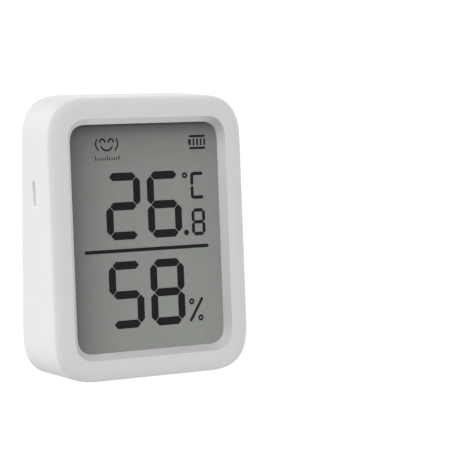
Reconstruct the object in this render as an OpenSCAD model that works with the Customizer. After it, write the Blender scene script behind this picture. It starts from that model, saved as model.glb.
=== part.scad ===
// Desktop temperature and humidity sensor.
// A wedge-shaped housing carries a recessed display and leans back from its foot.
// A rear cover closes it and holds two AAA cells behind a door.
// Frame: X to the right, Y from front to rear, Z up, origin under the middle of the foot.

/* [Body] */
// Overall width
body_w = 64.5; // [62:0.5:76]
// Overall height, at the rear
body_h = 80.3; // [76:0.1:96]
// Rise of the top from the front to the rear
top_rise = 0.3; // [0:0.1:0.6]
// Depth at the foot, from the foot line of the front to the rear face
body_d = 21.5; // [21.5:0.5:28]
// Angle at which the front leans back, in degrees
front_lean = 3.9; // [0:0.1:4]
// Reach of the soft corners along each side
corner_r = 15; // [11:0.5:16]
// Fullness of the soft corners, where 2 is a plain arc
corner_power = 3; // [2.4:0.1:3.6]
// Depth of the rounding of the front edge
front_round = 1.75; // [1:0.05:2.4]
// Reach of that rounding along the front, where it runs out flatter than an arc
front_reach = 3.6; // [2:0.1:4]
// Rounding of the rear edge
rear_round = 1.4; // [0.6:0.1:1.6]
// Thickness of the side walls
wall = 2; // [1.8:0.1:2.4]

/* [Window] */
// Width of the flat frame round the window
frame_margin = 6; // [5:0.1:7.5]
// Width of the sloped edge of the window
bevel_w = 1.8; // [1:0.1:2.4]
// Thickness of the front wall, and so the depth of the window
bevel_d = 1.9; // [1.5:0.1:2.2]
// Height of the straight edge below the slope
window_land = 0.15; // [0.1:0.05:0.5]
// Reach of the window's soft corners
window_r = 6.3; // [4:0.1:8]

/* [Vent slot] */
// Length of the slot in the left side
slot_l = 7.2; // [5:0.1:10]
// Width of the slot
slot_w = 1.2; // [0.8:0.1:1.8]
// Height of the slot's middle up the front's slope
slot_up = 53.6; // [48:0.1:55]
// Depth of the slot behind the front face
slot_back = 9.8; // [8.5:0.1:10.5]

/* [Display] */
// How far the glass reaches behind the window's edge
glass_lip = 1.3; // [0.8:0.1:1.6]
// Thickness of each glass plate
glass_t = 1; // [0.7:0.1:1.1]
// Thickness of the front film and of the reflector
film_t = 0.2; // [0.1:0.05:0.25]
// Width of the contact ledge along the display's top edge
ledge_w = 2.6; // [2.2:0.1:3.2]
// Thickness of the holder's floor
holder_t = 1.3; // [1:0.1:1.4]
// Thickness of the holder's rim
rim_t = 0.8; // [0.6:0.1:1]

/* [Board] */
// Thickness of the circuit board
board_t = 1; // [0.8:0.1:1.2]
// Height of the board's lower edge up the front's slope
board_low = 35; // [34:0.5:37]
// Radius of the posts that the board is screwed to
post_r = 1.6; // [1.4:0.1:1.7]

/* [Cells] */
// Diameter of a cell
cell_d = 10.5; // [9.8:0.1:10.6]
// Length of a cell with its contact nub
cell_l = 44.5; // [42:0.1:46]
// Room between the two cells
cell_gap = 0.7; // [0.4:0.1:1.2]
// Thickness of the stamped contacts
contact_t = 0.4; // [0.3:0.05:0.5]
// Length of a contact spring under load
spring_l = 3.6; // [3.4:0.1:4.5]
// Diameter of the spring wire
spring_wire = 0.6; // [0.4:0.05:0.6]

/* [Rear cover] */
// Thickness of the rear plate
plate_t = 1.8; // [1.6:0.1:2.2]
// Thickness of the walls of the battery bay
bay_wall = 1.2; // [1:0.1:1.3]
// Height of the battery bay's floor edge above the foot
bay_low = 7.4; // [7.2:0.1:8]
// Thickness of the bay's floor
bay_floor = 0.5; // [0.4:0.1:0.8]
// Thickness of the battery door
door_t = 1.5; // [1.3:0.1:1.6]
// Radius of the keyhole's entry
keyhole_r = 4; // [3.5:0.1:4.5]
// Radius of the keyhole's slot
keyhole_slot_r = 2.1; // [1.6:0.1:2.4]
// Rise from the keyhole's entry to the end of its slot
keyhole_rise = 7; // [6:0.5:8]
// Diameter of the magnets
magnet_d = 10; // [8:0.5:11]
// Thickness of the magnets
magnet_t = 2; // [1.5:0.1:2.5]

/* [Button] */
// Radius of the push button's cap
button_r = 4; // [3:0.1:4.4]
// Room round the cap in its hole
button_gap = 0.3; // [0.25:0.05:0.4]
// Travel of the push button
button_travel = 0.5; // [0.3:0.1:0.6]

/* [Fits] */
// Room between pieces that slot into each other
fit = 0.2; // [0.15:0.05:0.25]
// Room round the rear plate in its seat
plate_gap = 0.15; // [0.1:0.05:0.2]
// Room left between pieces that rest on each other
touch = 0.05; // [0.02:0.01:0.08]
// Radius of a case screw's shank
case_screw_r = 0.8; // [0.7:0.05:0.9]
// Radius of a board screw's shank
board_screw_r = 0.6; // [0.5:0.05:0.65]

/* [Hidden] */
$fn = 48;
// Points along a soft corner of the body, and of a smaller outline
corner_steps = 12;
small_steps = 8;
// Steps across the rounding of the front edge, and of the rear edge
front_steps = 6;
rear_steps = 3;
// Cutters reach past what they cut by this much
over = 1;
// Joined shapes run into each other by this much
sink = 0.3;

// Planes of the body and places on its leaning front
rear_y = body_d / 2;
foot_y = -body_d / 2;
front_top = body_h - top_rise;
front_h = front_top / cos(front_lean);
front_mid = front_h / 2;
window_w = body_w - 2 * (frame_margin + bevel_w);
window_h = front_h - 2 * (frame_margin + bevel_w);
cavity_w = body_w - 2 * wall;
cavity_h = front_h - 2 * wall;

// Stack of the display, as depths behind the front face
glass_w = window_w + 2 * glass_lip;
glass_h = window_h + 2 * glass_lip;
glass_top = front_mid + glass_h / 2;
film_at = bevel_d;
front_glass_at = film_at + film_t;
rear_glass_at = front_glass_at + glass_t;
reflector_at = rear_glass_at + glass_t;
holder_at = reflector_at + film_t;
board_at = holder_at + holder_t;
board_rear = board_at + board_t;
film_trim = 0.4;
rim_room = 0.1;
zebra_inset = 4;
zebra_l = glass_w - 2 * zebra_inset;
zebra_edge = 0.5;
zebra_w = ledge_w - 2 * zebra_edge;
zebra_room = 0.2;

// Board, its posts and what it carries
board_edge = 0.6;
board_w = cavity_w - 2 * board_edge;
board_h = cavity_h - 2 * board_edge;
board_top_room = 4.5;
post_room = 0.1;
post_x = cavity_w / 2 - post_r - post_room;
post_low = 44.5;
post_drop = 19.7;
post_ups = [post_low, front_h - post_drop];
post_hole_floor = 0.8;
board_hole_room = 0.15;
board_head_h = 0.7;
board_head_r = 1.2;
board_screw_grip = 2;
board_screw_l = board_t + board_screw_grip;
radio_x = 15;
radio_drop = 14.2;
radio_up = front_h - radio_drop;
radio_offset = 1;
radio_board = [16, 0.8, 12];
radio_can = [11, 1.5, 10];
driver_x = -12;
driver_up = 44;
driver_leads = [11, 0.2, 11];
driver_body = [9, 1.2, 9];
sensor_side = 4.25;
sensor_x = sensor_side - cavity_w / 2;
sensor_size = [2.5, 0.9, 2.5];
sensor_port_r = 0.6;
sensor_port_d = 0.4;
sensor_slit_off = 3.5;
sensor_slit_x = sensor_x + sensor_slit_off;
sensor_slit = [0.8, board_t + 2 * over, 9];
shroud_l = 6.5;
shroud_wall = 0.8;
shroud_top = 0.6;

// Switch and push button
switch_side = 6;
switch_h = 3.5;
switch_floor = 1;
plunger_r = 1.75;
plunger_room = 0.3;
plunger_out = 0.9;
button_drop = 29.8;
button_z = body_h - button_drop;
button_set_back = 0.22;
flange_t = 0.8;
flange_w = 1.2;
flange_room = 0.02;
stem_r = 2;

// Battery bay, cells and contacts
cell_r = cell_d / 2;
cell_pitch = cell_d + cell_gap;
cell_nub_h = 0.9;
cell_nub_r = 1.9;
cell_edge = 0.4;
cell_slack = 0.1;
dimple_h = 0.5;
dimple_r = 2;
bay_l = cell_l + 2 * contact_t + dimple_h + spring_l;
bay_h = 2 * cell_d + 2 * cell_gap;
bay_mid = bay_low + bay_h / 2;
plate_y = rear_y - plate_t;
door_inner_y = rear_y - door_t;
door_room = 0.3;
cell_y = door_inner_y - door_room - cell_r;
bay_floor_y = cell_y - cell_r - touch;
cell_zs = [bay_mid - cell_pitch / 2, bay_mid + cell_pitch / 2];
cell_shift = (bay_l - cell_l) / 2 - contact_t - dimple_h;
contact_x = bay_l / 2 - contact_t / 2;
contact_lap = 0.4;
contact_low = bay_low - contact_lap;
contact_high = bay_low + bay_h + contact_lap;
contact_split = 0.5;
contact_bottom = 0.5;
contact_room = 1;
groove_room = 0.1;
lead_w = 2;
lead_room = 0.15;
lead_x = (bay_l / 2 + bay_wall + cavity_w / 2 + contact_t) / 2;
lead_ys = [2, 5.5];
lead_first = 0.7;
lead_pitch = 2.5;
lead_zs = [board_low + lead_first, board_low + lead_first + lead_pitch];

// Contact springs, cones wound along X
spring_turns = 3;
spring_base_r = 3.4;
spring_tip_r = 2.2;
spring_sides = 6;
coil_steps = 8 * spring_turns;
coil_l = spring_l - spring_wire - 2 * touch;

// Battery door with its two tabs and its latch tongue
door_lap = 0.7;
door_w = bay_l + 2 * door_lap;
door_h = bay_h + 2 * door_lap;
door_low = bay_mid - door_h / 2;
door_high = bay_mid + door_h / 2;
door_r = 2;
tab_w = 5;
tab_t = 1;
tab_xs = [-15, 15];
tab_reach = 1.8;
tab_root = 1.6;
tab_room = 0.4;
tab_swing = 0.9;
tab_gap = 0.1;
tab_y = plate_y - tab_gap - tab_t;
tongue_w = 10;
tongue_l = 7;
tongue_slit = 0.6;
thumb_r = 7;
thumb_depth = 0.9;

// Rear cover, its screws, hooks, keyhole and magnets
plate_w = cavity_w - 2 * plate_gap;
plate_h = body_h - 2 * wall - 2 * plate_gap;
boss_r = 2.2;
boss_side = 3.25;
boss_x = cavity_w / 2 - boss_side;
boss_low = 43;
boss_drop = 14.3;
boss_zs = [boss_low, body_h - boss_drop];
boss_h = 4.95;
boss_y = plate_y - boss_h;
boss_floor = 0.6;
boss_web = 1.4;
case_screw_l = 4.5;
head_r = 1.9;
head_h = 1;
head_depth = 0.1;
shank_room = 0.35;
cross_w = 0.5;
cross_share = 1.3;
hook_xs = [-12, 12];
hook_w = 6;
hook_t = 1.2;
hook_l = 2;
hook_lip = 1;
hook_reach = 0.8;
hook_z = wall + plate_gap + hook_t / 2;
keyhole_drop = 18.3;
keyhole_z = body_h - keyhole_drop;
keyhole_depth = 3.4;
cup_room = 0.2;
cup_r = keyhole_r + cup_room;
cup_wall = 1;
magnet_x = 17;
magnet_z = 55;
magnet_room = 0.1;
magnet_rim = 1.2;

white = [0.93, 0.93, 0.93];
metal = [0.78, 0.78, 0.76];

// Outline with soft corners, one run of points per corner
function outline(w, h, r, steps = small_steps) = [
  for (q = [0:3])
    for (i = [0:steps])
      let (a = 90 * (q + i / steps), sx = (q == 0 || q == 3) ? 1 : -1, sz = (q < 2) ? 1 : -1)
      [
        sx * (w / 2 - r + r * pow(abs(cos(a)), 2 / corner_power)),
        sz * (h / 2 - r + r * pow(abs(sin(a)), 2 / corner_power))
      ]
];

// Ring of the body, set in by inset, at a depth behind the leaning front
function front_ring(inset, depth) = [
  for (p = outline(body_w - 2 * inset, front_top - 2 * inset, corner_r - inset, corner_steps))
    let (z = p[1] + front_top / 2)
    [p[0], foot_y + z * tan(front_lean) + depth, z]
];

// Ring of the body, set in by inset, at a depth in front of the upright rear
function rear_ring(inset, depth) = [
  for (p = outline(body_w - 2 * inset, body_h - 2 * inset, corner_r - inset, corner_steps))
    [p[0], rear_y - depth, p[1] + body_h / 2]
];

// Ring of the window in the front's own frame
function window_ring(spread, depth) = [
  for (p = outline(window_w + 2 * spread, window_h + 2 * spread, window_r + spread))
    [p[0], depth, p[1] + front_mid]
];

// Solid through rings of equal length, from the front ring to the rear one
module loft(rings) {
  n = len(rings[0]);
  last = len(rings) - 1;
  polyhedron(
    points = [for (ring = rings) each ring],
    faces = [
      [for (i = [n - 1:-1:0]) i],
      for (k = [0:last - 1])
        for (i = [0:n - 1])
          let (j = (i + 1) % n)
          [k * n + i, k * n + j, (k + 1) * n + j, (k + 1) * n + i],
      [for (i = [0:n - 1]) last * n + i]
    ]
  );
}

// Frame of the leaning front: X across, Y into the body, Z up the slope
module on_front() {
  translate([0, foot_y, 0])
    rotate([-front_lean, 0, 0])
      children();
}

// Upright plate from a flat outline, from y on
module upright(y, t) {
  translate([0, y + t, 0])
    rotate([90, 0, 0])
      linear_extrude(t)
        children();
}

// Rod along Y from y on
module rod(y, l, r) {
  translate([0, y, 0])
    rotate([-90, 0, 0])
      cylinder(h = l, r = r);
}

// Block centred on X and Z, from y on
module block(x, y, z, size) {
  translate([x - size[0] / 2, y, z - size[2] / 2])
    cube(size);
}

// Rectangle with true round corners
module round_rect(w, h, r) {
  square([w - 2 * r, h], center = true);
  square([w, h - 2 * r], center = true);
  for (x = [-1, 1], y = [-1, 1])
    translate([x * (w / 2 - r), y * (h / 2 - r)])
      circle(r = r);
}

// Flat outline of a stadium from the origin up to rise
module stadium(r, rise) {
  circle(r = r);
  translate([0, rise])
    circle(r = r);
  translate([-r, 0])
    square([2 * r, rise]);
}

module housing_skin() {
  loft([
    for (i = [front_steps:-1:0])
      let (a = 90 * i / front_steps)
      front_ring(front_reach * (1 - cos(a)), front_round * (1 - sin(a))),
    for (i = [0:rear_steps])
      let (a = 90 * i / rear_steps)
      rear_ring(rear_round * (1 - cos(a)), rear_round * (1 - sin(a)))
  ]);
}

module housing_cavity() {
  loft([
    front_ring(wall, bevel_d / cos(front_lean)),
    rear_ring(wall, -over)
  ]);
}

// Window with a sloped edge that ends in a short straight one
module window_cut() {
  slope_d = bevel_d - window_land;
  on_front()
    loft([
      window_ring(bevel_w * (1 + over / slope_d), -over),
      window_ring(0, slope_d),
      window_ring(0, bevel_d + over)
    ]);
}

module vent_cut() {
  on_front()
    translate([-body_w / 2 - over, slot_back, slot_up - (slot_l - slot_w) / 2])
      rotate([90, 0, 90])
        linear_extrude(wall + 2 * over)
          stadium(slot_w / 2, slot_l - slot_w);
}

// Bosses for the case screws, each tied to the side wall by a web
module case_bosses() {
  web_end = cavity_w / 2 + sink;
  for (x = [-1, 1], z = boss_zs) {
    translate([x * boss_x, 0, z])
      rod(boss_y, boss_h, boss_r);
    block(x * (boss_x + web_end) / 2, boss_y, z, [web_end - boss_x, boss_h, boss_web]);
  }
}

module board_posts() {
  on_front()
    for (x = [-1, 1], s = post_ups)
      translate([x * post_x, 0, s])
        rod(bevel_d - sink, board_at - bevel_d + sink, post_r);
}

// Pockets in the bottom wall for the lips of the rear cover's hooks
module hook_pockets() {
  for (x = hook_xs)
    block(
      x,
      plate_y - hook_l - fit,
      wall - hook_reach / 2,
      [hook_w + 2 * fit, hook_lip + 2 * fit, hook_reach + 2 * fit]
    );
}

module front_housing() {
  color(white)
    difference() {
      union() {
        difference() {
          housing_skin();
          housing_cavity();
        }
        case_bosses();
        board_posts();
      }
      window_cut();
      vent_cut();
      for (x = [-1, 1], z = boss_zs)
        translate([x * boss_x, 0, z])
          rod(boss_y + boss_floor, boss_h, case_screw_r);
      on_front()
        for (x = [-1, 1], s = post_ups)
          translate([x * post_x, 0, s])
            rod(bevel_d + post_hole_floor, board_at - bevel_d, board_screw_r);
      hook_pockets();
    }
}

// Sheet of the display at a depth, with its top edge cut back by top_trim
module glass_sheet(at, t, trim = 0, top_trim = 0) {
  on_front()
    translate([0, 0, front_mid - top_trim / 2])
      upright(at, t)
        square([glass_w - 2 * trim, glass_h - 2 * trim - top_trim], center = true);
}

module lcd_front_film() {
  color([0.52, 0.54, 0.52])
    glass_sheet(film_at, film_t, film_trim);
}

module lcd_front_glass() {
  color([0.7, 0.75, 0.72])
    glass_sheet(front_glass_at, glass_t);
}

module lcd_rear_glass() {
  color([0.66, 0.72, 0.7])
    glass_sheet(rear_glass_at, glass_t, 0, ledge_w);
}

module lcd_reflector() {
  color([0.85, 0.86, 0.84])
    glass_sheet(reflector_at, film_t, film_trim, ledge_w);
}

// Tray of the display: a rim all round, and a floor above the battery bay
module lcd_holder() {
  inner_w = glass_w + 2 * fit;
  inner_h = glass_h + 2 * fit;
  inner_low = front_mid - inner_h / 2;
  floor_low = (bay_low + bay_h + bay_wall + fit) / cos(front_lean);
  rim_at = bevel_d + rim_room;
  color([0.88, 0.88, 0.86])
    on_front()
      difference() {
        translate([0, 0, front_mid])
          upright(rim_at, board_at - rim_at)
            square([inner_w + 2 * rim_t, inner_h + 2 * rim_t], center = true);
        translate([0, 0, front_mid])
          upright(rim_at - over, holder_at - rim_at + over)
            square([inner_w, inner_h], center = true);
        block(
          0,
          holder_at - over,
          glass_top - ledge_w / 2,
          [zebra_l + 2 * zebra_room, holder_t + 2 * over, zebra_w + 2 * zebra_room]
        );
        translate([-inner_w / 2, holder_at - over, inner_low])
          cube([inner_w, holder_t + 2 * over, floor_low - inner_low]);
      }
}

module zebra_strip() {
  color([0.2, 0.2, 0.22])
    on_front()
      block(0, rear_glass_at, glass_top - ledge_w / 2, [zebra_l, board_at - rear_glass_at, zebra_w]);
}

module main_board() {
  color([0.1, 0.35, 0.22])
    on_front()
      difference() {
        upright(board_at, board_t)
          intersection() {
            translate([0, front_mid])
              polygon(outline(board_w, board_h, corner_r - wall - board_edge));
            translate([-body_w / 2, board_low])
              square([body_w, front_h - board_low - board_top_room]);
          }
        for (x = [-1, 1], s = post_ups)
          translate([x * post_x, 0, s])
            rod(board_at - over, board_t + 2 * over, board_screw_r + board_hole_room);
        block(sensor_slit_x, board_at - over, slot_up, sensor_slit);
      }
}

module radio_module() {
  color(metal)
    on_front()
      union() {
        block(radio_x, board_rear, radio_up, radio_board);
        block(radio_x - radio_offset, board_rear + radio_board[1], radio_up, radio_can);
      }
}

module display_driver() {
  color([0.12, 0.12, 0.13])
    on_front()
      union() {
        block(driver_x, board_rear, driver_up, driver_leads);
        block(driver_x, board_rear + driver_leads[1], driver_up, driver_body);
      }
}

module humidity_sensor() {
  color([0.15, 0.15, 0.16])
    on_front()
      difference() {
        block(sensor_x, board_rear, slot_up, sensor_size);
        translate([sensor_x, 0, slot_up])
          rod(board_rear + sensor_size[1] - sensor_port_d, over, sensor_port_r);
      }
}

// Duct over the sensor, open to the vent slot and towards the board
module sensor_shroud() {
  side = cavity_w / 2 - touch;
  deep = slot_back + slot_w + shroud_top - board_rear;
  color([0.25, 0.25, 0.26])
    on_front()
      difference() {
        block(
          shroud_l / 2 - side,
          board_rear,
          slot_up,
          [shroud_l, deep, slot_l + 2 * shroud_wall]
        );
        block(
          (shroud_l - shroud_wall - over) / 2 - side,
          board_rear - over,
          slot_up,
          [shroud_l - shroud_wall + over, deep - shroud_top + over, slot_l]
        );
      }
}

// Height up the slope where the push button's axis meets the board
function button_up() = (button_z + (board_rear + switch_h) * sin(front_lean)) / cos(front_lean);

module switch_base() {
  color([0.18, 0.18, 0.19])
    on_front()
      difference() {
        block(0, board_rear, button_up(), [switch_side, switch_h, switch_side]);
        translate([0, 0, button_up()])
          rod(board_rear + switch_floor, switch_h, plunger_r + plunger_room);
      }
}

module switch_plunger() {
  rest = board_rear + switch_floor + button_travel + plunger_room;
  color([0.08, 0.08, 0.08])
    on_front()
      translate([0, 0, button_up()])
        rod(rest, board_rear + switch_h + plunger_out - rest, plunger_r);
}

// Place of the plunger's face on the button's axis
function plunger_y() =
  foot_y + button_z * tan(front_lean) + (board_rear + switch_h + plunger_out) / cos(front_lean);

module unit_button() {
  flange_y = plate_y - flange_t - flange_room;
  stem_y = plunger_y() + plunger_r * sin(front_lean) + touch;
  color(white)
    translate([0, 0, button_z])
      union() {
        rod(flange_y, rear_y - button_set_back - flange_y, button_r);
        rod(flange_y, flange_t, button_r + flange_w);
        rod(stem_y, plate_y - stem_y, stem_r);
      }
}

// Cut through the whole thickness of the rear plate
module plate_hole(r) {
  rod(plate_y - over, plate_t + 2 * over, r);
}

// Opening of the door, the bay behind it and the way for its tabs and a thumb
module bay_cuts() {
  translate([0, 0, bay_mid]) {
    upright(door_inner_y - touch, plate_t + over)
      round_rect(door_w + 2 * fit, door_h + 2 * fit, door_r + fit);
    upright(bay_floor_y, rear_y - bay_floor_y)
      square([bay_l, bay_h], center = true);
  }
  for (x = tab_xs)
    block(
      x,
      tab_y - tab_swing,
      bay_low - bay_wall / 2,
      [tab_w + 2 * tab_room, door_inner_y + tab_swing - tab_y, bay_wall + 2 * tab_room]
    );
  translate([0, 0, door_high])
    rod(rear_y - thumb_depth, thumb_depth + over, thumb_r);
}

// Keyhole in the plate and the cup's hollow behind it
module keyhole_cut() {
  translate([0, 0, keyhole_z]) {
    plate_hole(keyhole_r);
    upright(plate_y - over, plate_t + 2 * over)
      stadium(keyhole_slot_r, keyhole_rise);
    upright(plate_y - keyhole_depth, keyhole_depth)
      stadium(cup_r, keyhole_rise);
  }
}

// Holes for the case screws and seats for their heads
module screw_cuts() {
  for (x = [-1, 1], z = boss_zs)
    translate([x * boss_x, 0, z]) {
      plate_hole(case_screw_r + shank_room);
      rod(rear_y - head_h - head_depth, head_h + over, head_r + fit);
    }
}

// Grooves that hold the contacts, and the way out for the two leads
module contact_slots() {
  for (x = [-1, 1])
    block(
      x * contact_x,
      bay_floor_y,
      bay_mid,
      [contact_t + groove_room, door_inner_y - bay_floor_y, contact_high - contact_low + 2 * groove_room]
    );
  for (i = [0, 1])
    block(
      bay_l / 2 + bay_wall / 2,
      lead_ys[i] - groove_room,
      cell_zs[i],
      [bay_wall + 2 * sink, lead_w + 2 * groove_room, lead_w + 2 * groove_room]
    );
}

// Hooks along the plate's foot, with lips that catch in the bottom wall
module cover_hooks() {
  for (x = hook_xs) {
    block(x, plate_y - hook_l, hook_z, [hook_w, hook_l + sink, hook_t]);
    block(x, plate_y - hook_l, hook_z - hook_reach, [hook_w, hook_lip, hook_t]);
  }
}

module magnet_seats() {
  for (x = [-1, 1])
    translate([x * magnet_x, 0, magnet_z])
      difference() {
        rod(plate_y - magnet_t - magnet_room, magnet_t + magnet_room + sink, magnet_d / 2 + magnet_rim);
        rod(plate_y - magnet_t - over, magnet_t + over, magnet_d / 2 + magnet_room);
      }
}

module rear_cover() {
  color(white)
    difference() {
      union() {
        translate([0, 0, body_h / 2])
          upright(plate_y, plate_t)
            polygon(outline(plate_w, plate_h, corner_r - wall - plate_gap));
        translate([0, 0, bay_mid])
          upright(bay_floor_y - bay_floor, plate_y - bay_floor_y + bay_floor + sink)
            square([bay_l + 2 * bay_wall, bay_h + 2 * bay_wall], center = true);
        translate([0, 0, keyhole_z])
          upright(plate_y - keyhole_depth - cup_wall, keyhole_depth + cup_wall)
            stadium(cup_r + cup_wall, keyhole_rise);
        cover_hooks();
        magnet_seats();
      }
      bay_cuts();
      contact_slots();
      keyhole_cut();
      screw_cuts();
      translate([0, 0, button_z])
        plate_hole(button_r + button_gap);
    }
}

// Tab under the door's lower edge that reaches behind the plate
module door_tab() {
  translate([-tab_w / 2, tab_y, door_low - tab_reach])
    cube([tab_w, tab_t, tab_reach + tab_root]);
  translate([-tab_w / 2, tab_y, door_low + fit])
    cube([tab_w, door_inner_y - tab_y + sink, tab_root - fit]);
}

// Slits that free the latch tongue at the door's top edge
module tongue_slits() {
  for (x = [-1, 1])
    block(
      x * (tongue_w + tongue_slit) / 2,
      door_inner_y - over,
      door_high - tongue_l / 2 + over / 2,
      [tongue_slit, door_t + 2 * over, tongue_l + over]
    );
}

module battery_door() {
  color(white)
    union() {
      difference() {
        translate([0, 0, bay_mid])
          upright(door_inner_y, door_t)
            round_rect(door_w, door_h, door_r);
        tongue_slits();
      }
      for (x = tab_xs)
        translate([x, 0, 0])
          door_tab();
    }
}

// Cell along X, its nub towards plus X
module cell() {
  sleeve_l = cell_l - cell_nub_h;
  sleeve_r = cell_r - cell_slack;
  translate([-cell_l / 2, 0, 0])
    rotate([0, 90, 0]) {
      cylinder(h = cell_edge, r1 = sleeve_r - cell_edge, r2 = sleeve_r);
      translate([0, 0, cell_edge])
        cylinder(h = sleeve_l - 2 * cell_edge, r = sleeve_r);
      translate([0, 0, sleeve_l - cell_edge])
        cylinder(h = cell_edge, r1 = sleeve_r, r2 = sleeve_r - cell_edge);
      cylinder(h = cell_l, r = cell_nub_r);
    }
}

module battery_upper() {
  color([0.8, 0.8, 0.82])
    translate([cell_shift, cell_y, cell_zs[1]])
      cell();
}

module battery_lower() {
  color([0.8, 0.8, 0.82])
    translate([-cell_shift, cell_y, cell_zs[0]])
      mirror([1, 0, 0])
        cell();
}

// Centre line of a conical contact spring along X, base first
function coil_point(t) =
  let (r = spring_base_r + (spring_tip_r - spring_base_r) * t, a = 360 * spring_turns * t)
  [spring_wire / 2 + touch + coil_l * t, r * cos(a), r * sin(a)];
function coil_tangent(t) =
  let (d = coil_point(t + 0.001) - coil_point(t - 0.001))
  d / norm(d);

// Points along the wire, with a short straight end at each end
coil_line = [
  coil_point(0) - spring_wire * coil_tangent(0),
  for (i = [0:coil_steps]) coil_point(i / coil_steps),
  coil_point(1) + spring_wire * coil_tangent(1)
];

// Smallest room between two turns of the spring
coil_gap = min([
  for (i = [0:coil_steps])
    for (j = [i + 6:1:coil_steps])
      norm(coil_line[i + 1] - coil_line[j + 1]) - spring_wire
]);
echo(coil_gap = coil_gap);

module contact_spring() {
  rings = [
    for (i = [0:len(coil_line) - 1])
      let (
        t = min(max(i - 1, 0) / coil_steps, 1),
        along = coil_tangent(t),
        out = [0, coil_point(t)[1], coil_point(t)[2]],
        side = cross(along, out) / norm(cross(along, out)),
        up = cross(side, along)
      )
      [
        for (k = [0:spring_sides - 1])
          let (a = 360 * k / spring_sides)
          coil_line[i] + spring_wire / 2 * (cos(a) * up - sin(a) * side)
      ]
  ];
  loft(rings);
}

module spring_upper() {
  color(metal)
    translate([-bay_l / 2 + contact_t, cell_y, cell_zs[1]])
      contact_spring();
}

module spring_lower() {
  color(metal)
    translate([bay_l / 2 - contact_t, cell_y, cell_zs[0]])
      mirror([1, 0, 0])
        contact_spring();
}

// Stamped plate across one end of the bay, from low to high
module contact_plate(x, low, high) {
  deep = door_inner_y - bay_floor_y - contact_bottom - contact_room;
  translate([x - contact_t / 2, bay_floor_y + contact_bottom, low])
    cube([contact_t, deep, high - low]);
}

// Raised pad that meets the nub of a cell
module dimple(x, z, way) {
  translate([x, cell_y, z])
    rotate([0, 90 * way, 0])
      cylinder(h = dimple_h + contact_t / 2, r = dimple_r);
}

module contact_link() {
  color(metal)
    union() {
      contact_plate(-contact_x, contact_low, contact_high);
      dimple(-contact_x, cell_zs[0], 1);
    }
}

// Lead strip from an end contact, out of the bay and up to the board
module lead(i) {
  board_y = foot_y + lead_zs[i] * tan(front_lean) + board_rear / cos(front_lean) + lead_room;
  low = cell_zs[i] - lead_w / 2;
  translate([contact_x, lead_ys[i], low])
    cube([lead_x - contact_x, lead_w, contact_t]);
  translate([lead_x - contact_t, lead_ys[i], low])
    cube([contact_t, lead_w, lead_zs[i] + lead_w - low]);
  translate([lead_x - contact_t, board_y, lead_zs[i]])
    cube([contact_t, lead_ys[i] + lead_w - board_y, lead_w]);
}

module contact_positive() {
  color(metal)
    union() {
      contact_plate(contact_x, bay_mid + contact_split, contact_high);
      dimple(contact_x, cell_zs[1], -1);
      lead(1);
    }
}

module contact_negative() {
  color(metal)
    union() {
      contact_plate(contact_x, contact_low, bay_mid - contact_split);
      lead(0);
    }
}

module magnet(x) {
  color(metal)
    translate([x, 0, magnet_z])
      rod(plate_y - magnet_t - touch, magnet_t, magnet_d / 2);
}

module magnet_left() {
  magnet(-magnet_x);
}

module magnet_right() {
  magnet(magnet_x);
}

// Cross-head screw whose head ends at y, its shank towards minus Y
module screw(y, shank_l, shank_r, top_r, top_h) {
  cross_l = cross_share * top_r;
  difference() {
    union() {
      rod(y - top_h, top_h, top_r);
      rod(y - top_h - shank_l, shank_l + sink, shank_r);
    }
    block(0, y - top_h / 2, 0, [cross_l, top_h, cross_w]);
    block(0, y - top_h / 2, 0, [cross_w, top_h, cross_l]);
  }
}

module case_screws() {
  color(metal)
    for (x = [-1, 1], z = boss_zs)
      translate([x * boss_x, 0, z])
        screw(rear_y - head_depth, case_screw_l, case_screw_r, head_r, head_h);
}

module board_screws() {
  color(metal)
    on_front()
      for (x = [-1, 1], s = post_ups)
        translate([x * post_x, 0, s])
          screw(board_rear + board_head_h, board_screw_l, board_screw_r, board_head_r, board_head_h);
}

front_housing();
lcd_front_film();
lcd_front_glass();
lcd_rear_glass();
lcd_reflector();
lcd_holder();
zebra_strip();
main_board();
radio_module();
display_driver();
humidity_sensor();
sensor_shroud();
switch_base();
switch_plunger();
unit_button();
rear_cover();
battery_door();
battery_upper();
battery_lower();
spring_upper();
spring_lower();
contact_link();
contact_positive();
contact_negative();
magnet_left();
magnet_right();
case_screws();
board_screws();
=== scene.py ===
# Looks of a desktop temperature and humidity sensor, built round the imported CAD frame.
# Sizes are in millimetres unless a line says otherwise, and become metres when a mesh is made.
import math

import bmesh
import bpy
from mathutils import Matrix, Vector


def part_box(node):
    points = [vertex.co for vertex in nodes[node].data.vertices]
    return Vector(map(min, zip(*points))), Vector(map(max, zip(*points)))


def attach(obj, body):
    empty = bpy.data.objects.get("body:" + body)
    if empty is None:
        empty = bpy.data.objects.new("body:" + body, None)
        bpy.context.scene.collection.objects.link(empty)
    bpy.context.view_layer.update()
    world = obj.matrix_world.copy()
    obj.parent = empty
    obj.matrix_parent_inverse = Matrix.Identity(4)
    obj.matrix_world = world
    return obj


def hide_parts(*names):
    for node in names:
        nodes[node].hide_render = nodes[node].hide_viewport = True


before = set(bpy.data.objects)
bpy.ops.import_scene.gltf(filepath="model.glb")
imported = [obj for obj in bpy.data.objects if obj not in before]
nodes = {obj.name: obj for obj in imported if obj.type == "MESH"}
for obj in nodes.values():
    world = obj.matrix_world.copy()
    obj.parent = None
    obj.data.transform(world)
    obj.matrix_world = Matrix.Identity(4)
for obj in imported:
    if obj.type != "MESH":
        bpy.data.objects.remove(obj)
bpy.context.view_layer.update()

MM = 0.001

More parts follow.
